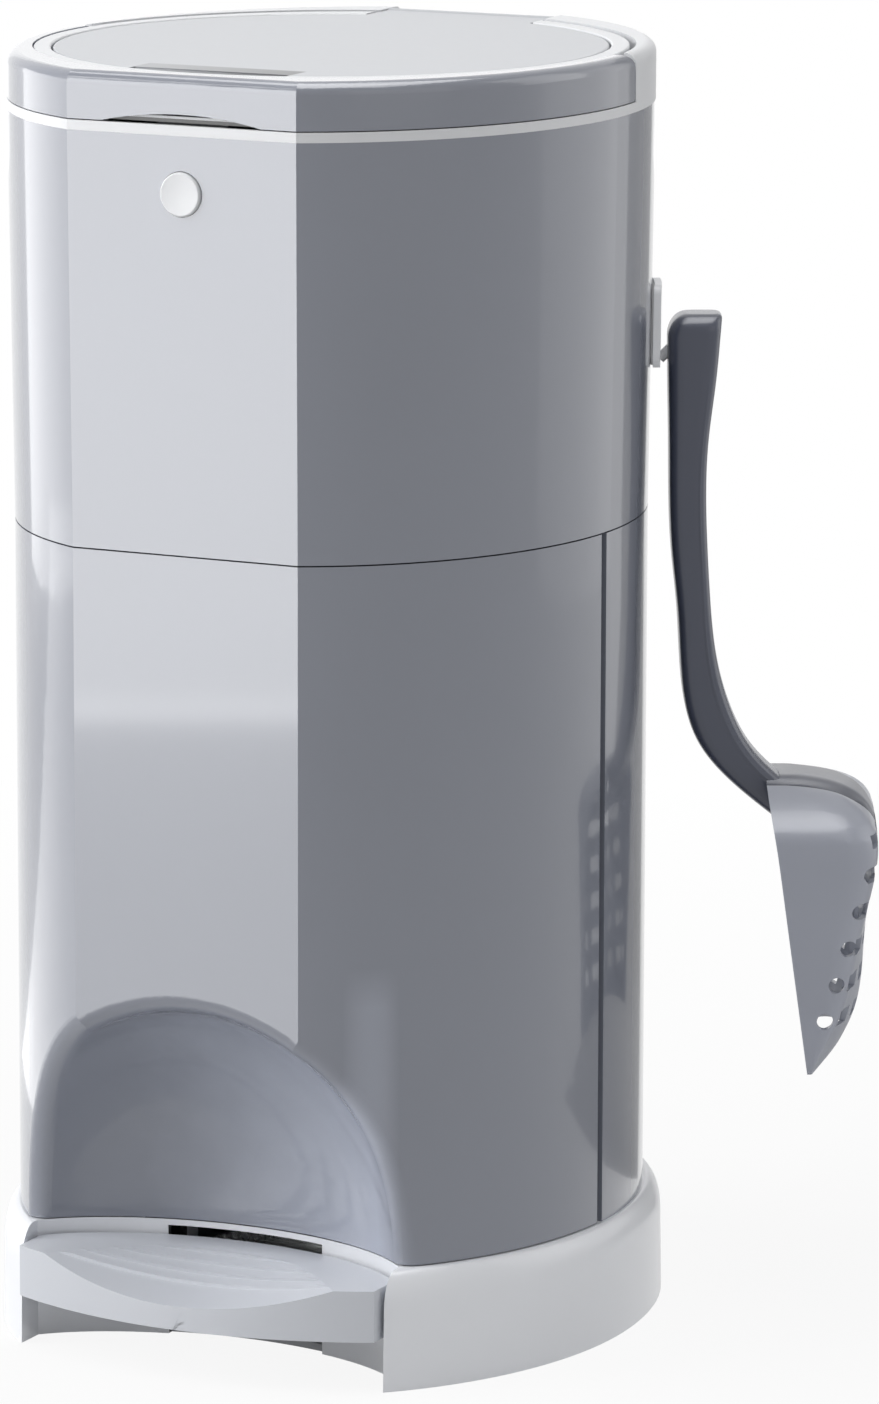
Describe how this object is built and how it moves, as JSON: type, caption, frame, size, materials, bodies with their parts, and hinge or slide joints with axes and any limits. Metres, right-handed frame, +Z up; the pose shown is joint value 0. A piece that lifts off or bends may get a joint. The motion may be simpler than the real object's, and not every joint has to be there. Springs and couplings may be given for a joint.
{
  "type": "litter disposal pail",
  "caption": "Tall oval pedal pail with a front door, film-sealed drop throat, two-stage hinged lid, release button and a slotted scoop hung on its side.",
  "frame": {"origin": "centre of the pail's lower body on the floor, at the middle of its widest section", "axes": "+Z up, front facet with the pedal and the button faces -Y, the scoop hangs on the +X side"},
  "size_m": [0.3512, 0.3139, 0.536],
  "materials": {
    "body_grey": "glossy mid-grey moulded plastic",
    "base_grey": "pale grey moulded plastic",
    "pedal_grey": "light grey satin plastic",
    "collar_white": "white moulded plastic",
    "disc_grey": "light grey moulded plastic",
    "inner_grey": "grey moulded plastic",
    "handle_slate": "dark slate satin plastic",
    "blade_grey": "mid-grey moulded plastic",
    "steel": "zinc plated steel",
    "rubber_foot": "black rubber",
    "seal_rubber": "grey elastomer",
    "pad_foam": "white foam tape",
    "carbon": "black carbon felt",
    "film_blue": "thin folded film"
  },
  "bodies": {
    "pail": {"base_skirt": "base_grey", "bottom_cover": "inner_grey", "rubber_feet": "rubber_foot", "base_screws": "steel", "shell_screws": "steel", "rear_shell": "body_grey", "door_pins": "steel", "rod_cover": "inner_grey", "rod_guides": "inner_grey", "pedal_pin": "steel", "upper_housing": "body_grey", "top_collar": "collar_white", "lid_hinge_pin": "steel", "flap_carrier": "collar_white", "flap_pins": "steel", "flap_springs": "steel", "film_cassette": "collar_white", "film_pack": "film_blue", "button_spring": "steel", "hook_pad": "pad_foam", "scoop_hook": "collar_white"},
    "door": {"front_door": "body_grey", "door_latch": "collar_white", "film_cutter": "collar_white", "cutter_blade": "steel"},
    "pedal": {"pedal_tread": "pedal_grey", "tread_screws": "steel", "pedal_lever": "steel"},
    "rod": {"push_rod": "steel"},
    "rim": {"rim_frame": "body_grey", "lid_ring": "collar_white", "rim_catch": "collar_white"},
    "disc": {"lid_disc": "disc_grey", "lid_dome": "collar_white", "lid_seal": "seal_rubber", "carbon_filter": "carbon", "filter_cap": "collar_white"},
    "button": {"release_button": "collar_white", "button_latch": "collar_white"},
    "flap_left": {"flap_left": "collar_white"},
    "flap_right": {"flap_right": "collar_white"},
    "scoop": {"scoop_handle": "handle_slate", "scoop_blade": "blade_grey"}
  },
  "joints": [
    {"name": "door_swing", "type": "hinge", "parent": "pail", "child": "door", "pos_m": [-0.1235, -0.006, 0.2], "axis": [0, 0, -1], "range_deg": [0, 90]},
    {"name": "pedal_tread_swing", "type": "hinge", "parent": "pail", "child": "pedal", "pos_m": [0, -0.058, 0.028], "axis": [1, 0, 0], "range_deg": [0, 8]},
    {"name": "rod_slide", "type": "slide", "parent": "pail", "child": "rod", "axis": [0, 0, 1], "range_m": [0, 0.0249]},
    {"name": "rim_lift", "type": "hinge", "parent": "pail", "child": "rim", "pos_m": [0, 0.134, 0.528], "axis": [-1, 0, 0], "range_deg": [0, 75]},
    {"name": "disc_lift", "type": "hinge", "parent": "rim", "child": "disc", "pos_m": [0, 0.134, 0.528], "axis": [-1, 0, 0], "range_deg": [0, 80]},
    {"name": "button_press", "type": "slide", "parent": "pail", "child": "button", "axis": [0, 1, 0], "range_m": [0, 0.003], "stiffness_N_per_m": 800, "deforming": ["button_spring"]},
    {"name": "left_flap_drop", "type": "hinge", "parent": "pail", "child": "flap_left", "pos_m": [-0.066, 0, 0.4052], "axis": [0, 1, 0], "range_deg": [0, 70], "stiffness_Nm_per_rad": 0.05, "springref_deg": -57.3},
    {"name": "right_flap_drop", "type": "hinge", "parent": "pail", "child": "flap_right", "pos_m": [0.066, 0, 0.4052], "axis": [0, -1, 0], "range_deg": [0, 70], "stiffness_Nm_per_rad": 0.05, "springref_deg": -57.3},
    {"name": "scoop_lift_off", "type": "slide", "parent": "pail", "child": "scoop", "axis": [0.6342, 0.3127, 0.7071], "range_m": [0, 0.08]}
  ],
  "couplings": [
    {"joint": "rod_slide", "follows": "pedal_tread_swing", "m_per_rad": 0.17769},
    {"joint": "disc_lift", "follows": "pedal_tread_swing", "ratio": 10}
  ]
}
